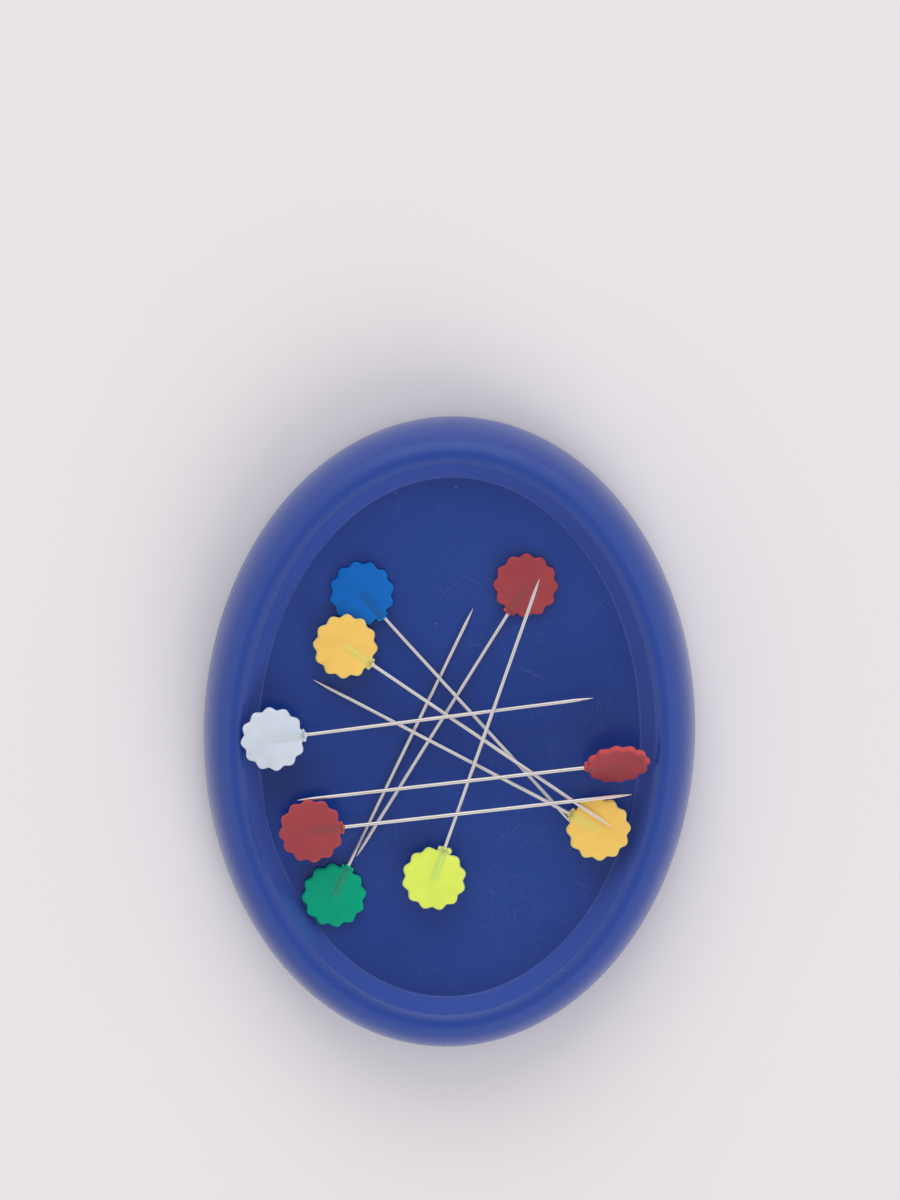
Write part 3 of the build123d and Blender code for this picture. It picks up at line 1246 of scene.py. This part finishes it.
        # Painted glow along the edge, and painted shade where the wire shows through.
        draft.mask(self.RIM_LIGHT, self.painted_glow_at)
        draft.mask(self.SEEN_WIRE_SHADE, self.seen_wire_shade_at)
        self.add_sleeve(draft)
        colour = PetalColour.of_pin(place.name)
        shares = self.lime_ear_shares if colour is PetalColour.LIME else self.ear_shares
        for side, share in zip((-1, 1), shares):
            self.add_ear(draft, side, self.ear_radius * share)
        # The sleeve and ears get the painted glow and a little painted shade.
        draft.mask(self.RIM_LIGHT, self.sleeve_painted_glow)
        draft.mask(self.SEEN_WIRE_SHADE, self.sleeve_seen_wire_shade)
        piece = draft.finished(f"petals_{place.name}", self.sharp_degrees, place.axes)
        colour.value.dress(piece)
        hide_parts(f"pin_{place.name}_head")
        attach(piece, f"pin_{place.name}")
        return piece


@dataclass
class PinWire:
    """A straight steel wire with a blunt end in the head and a ground point."""

    radius: float = 0.3 * MM
    point_length: float = 3.5 * MM
    point_radius: float = 0.03 * MM
    sides: int = 32
    spans: tuple[int, int] = (12, 14)
    sharp_degrees: float = 50.0
    finish: PlatedWire = PlatedWire("plated_wire", "pin_steel")

    def profile(self, length: float) -> list[Pair]:
        """Works out the wire's outline, from blunt end to point.

        Args:
            length: The wire's length.

        Returns:
            Places along the wire, each with the radius there.
        """
        start = length - self.point_length
        drop = self.radius - self.point_radius
        bend = (self.point_length**2 + drop**2) / (2 * drop)
        shaft, point = self.spans
        profile = [(start * step / shaft, self.radius) for step in range(shaft + 1)]
        for step in range(1, point + 1):
            along = self.point_length * step / point
            profile.append((start + along, self.radius - bend + sqrt(bend**2 - along**2)))
        return profile

    def build(self, place: PinPlace) -> Piece:
        """Makes one pin's wire and dresses it.

        Args:
            place: The pin's place in the frame.

        Returns:
            The wire.
        """
        draft = Draft()
        rings = [wire_ring(x, radius, self.sides) for x, radius in self.profile(place.length)]
        draft.skin(rings, Vector((0, 0, 0)), Vector((place.length, 0, 0)))
        piece = draft.finished(f"wire_{place.name}", self.sharp_degrees, place.axes)
        self.finish.dress(piece)
        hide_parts(f"pin_{place.name}_wire")
        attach(piece, f"pin_{place.name}")
        return piece


@dataclass
class Underside:
    """The frame's own pieces below the tray: cover, magnet, pad and feet."""

    cover: Finish = CoverPlastic("cover_plastic", "cover")
    magnet: Finish = Speckled(
        "pressed_ferrite", "ferrite",
        (0.075, 0.075, 0.08, 1), (0.03, 0.03, 0.034, 1), 1500.0, 0.02 * MM, 0.62,
    )
    pad: Finish = Speckled(
        "pad_foam", "foam", (0.68, 0.67, 0.64, 1), (0.36, 0.36, 0.35, 1), 1900.0, 0.12 * MM, 0.9
    )
    foot: Finish = Speckled(
        "foot_rubber", "foot_rubber",
        (0.06, 0.06, 0.065, 1), (0.028, 0.028, 0.03, 1), 2600.0, 0.03 * MM, 0.78,
    )

    def dress(self) -> list[Piece]:
        """Gives each piece its finish.

        Returns:
            The pieces.
        """
        finishes = {"base_cover": self.cover, "magnet": self.magnet, "magnet_pad": self.pad}
        for node in frame["nodes"]:
            if node.startswith("foot_"):
                finishes[node] = self.foot
        for node, finish in finishes.items():
            finish.dress(frame["nodes"][node])
        return [frame["nodes"][node] for node in finishes]


# Studio


@dataclass(frozen=True)
class Lamp:
    """A far soft lamp: the way to it, how wide it looks, and its watts for each square metre."""

    name: str
    way: tuple[float, float, float]
    spread_degrees: float
    strength: float

    def build(self) -> None:
        """Makes the lamp, which lights everything evenly and leaves no glint of its own."""
        data = bpy.data.lights.new(self.name, "SUN")
        data.angle = radians(self.spread_degrees)
        data.energy = self.strength
        lamp = linked(self.name, data)
        lamp.visible_glossy = False
        lamp.location = self.way
        lamp.rotation_mode = "QUATERNION"
        lamp.rotation_quaternion = (-Vector(self.way)).to_track_quat("-Z", "Y")


@dataclass
class Studio:
    """The pale floor, the soft lights and the camera at the photograph's angle."""

    floor_half: float = 1.6
    floor_drop: float = 0.02 * MM
    floor_colour: Colour = (0.86, 0.83, 0.84, 1.0)
    floor_roughness: float = 0.75
    world_colour: Colour = (0.96, 0.95, 0.97, 1.0)
    world_strength: float = 0.62
    backdrop_strength: float = 0.93
    overhead_strength: float = 0.38
    overhead_heights: Pair = (0.72, 0.985)
    front_strength: float = 0.5
    front_reach: Pair = (0.55, 0.95)
    lamps: tuple[Lamp, ...] = (
        Lamp("key", (-0.2, 2.0, 1.2), 48.0, 1.14),
        Lamp("fill", (0.9, -1.7, 1.3), 41.0, 0.92),
    )
    aim: tuple[float, float, float] = (-0.48 * MM, 21.8 * MM, 9.4 * MM)
    distance: float = 0.9
    tilt_degrees: float = 7.0
    roll_degrees: float = 1.5
    photo_height: int = 1200
    metres_per_pixel: float = 0.1562 * MM
    sensor: float = 36.0
    clip_start: float = 0.01

    def build_floor(self) -> None:
        """Makes the floor and its plain material."""
        mesh = bpy.data.meshes.new("floor")
        half = self.floor_half
        corners = [(-half, -half, 0), (half, -half, 0), (half, half, 0), (-half, half, 0)]
        mesh.from_pydata(corners, [], [(0, 1, 2, 3)])
        floor = linked("floor", mesh)
        floor.location.z = -self.floor_drop
        material = bpy.data.materials.new("floor_paint")
        wiring = Wiring.of(material)
        paint = wiring.surface(self.floor_colour, self.floor_roughness, Specular_IOR_Level=0.0)
        wiring.add("OutputMaterial", {"Surface": paint.outputs[0]})
        mesh.materials.append(material)

    def build_world(self) -> None:
        """Makes the world: even light and a pale backdrop, darker overhead in reflections."""
        world = bpy.data.worlds.new("studio")
        wiring = Wiring.of(world)
        path = wiring.add("LightPath").outputs
        way = wiring.add("SeparateXYZ", {0: wiring.add("TexCoord").outputs["Generated"]}).outputs
        strengths = (self.backdrop_strength, self.overhead_strength)
        overhead = wiring.step(way["Z"], *self.overhead_heights, *strengths)
        front = wiring.step(way["Y"], *self.front_reach, 0.0, self.front_strength)
        graded = wiring.math("ADD", overhead, front, clamp=False)
        mirrored = wiring.math("MAXIMUM", path["Is Glossy Ray"], path["Is Transmission Ray"])
        strength = wiring.step(mirrored, 0.0, 1.0, self.world_strength, graded)
        strength = wiring.step(path["Is Camera Ray"], 0.0, 1.0, strength, self.backdrop_strength)
        light = wiring.add("Background", {"Color": self.world_colour, "Strength": strength})
        wiring.add("OutputWorld", {"Surface": light.outputs[0]})
        bpy.context.scene.world = world

    def build_camera(self) -> None:
        """Makes the camera: almost straight above, tilted and rolled a little, with a long lens."""
        data = bpy.data.cameras.new("camera")
        camera = linked("camera", data)
        turn = Matrix.Rotation(radians(self.roll_degrees), 4, "Z")
        turn = turn @ Matrix.Rotation(radians(-self.tilt_degrees), 4, "X")
        back = turn @ Vector((0, 0, 1))
        camera.matrix_world = Matrix.Translation(Vector(self.aim) + back * self.distance) @ turn
        data.sensor_width = self.sensor
        data.lens = self.sensor * self.distance / (self.photo_height * self.metres_per_pixel)
        data.clip_start = self.clip_start
        bpy.context.scene.camera = camera

    def build(self) -> None:
        """Makes the whole studio."""
        self.build_camera()
        self.build_floor()
        self.build_world()
        for lamp in self.lamps:
            lamp.build()
        bpy.context.scene.view_settings.view_transform = "Standard"


def main() -> None:
    """Builds the studio, the tray, what lies under it and the nine pins."""
    logging.basicConfig(level=logging.INFO, format="%(name)s: %(message)s")
    Studio().build()
    made = [BowlShell().build(), *Underside().dress()]
    for body in frame["bodies"]:
        if body.startswith("pin_"):
            place = PinPlace.from_frame(body.removeprefix("pin_"))
            made += [PinHead().build(place), PinWire().build(place)]
    for piece in made:
        log.info("%s, %d faces", piece.name, len(piece.data.polygons))


if __name__ == "__main__":
    main()
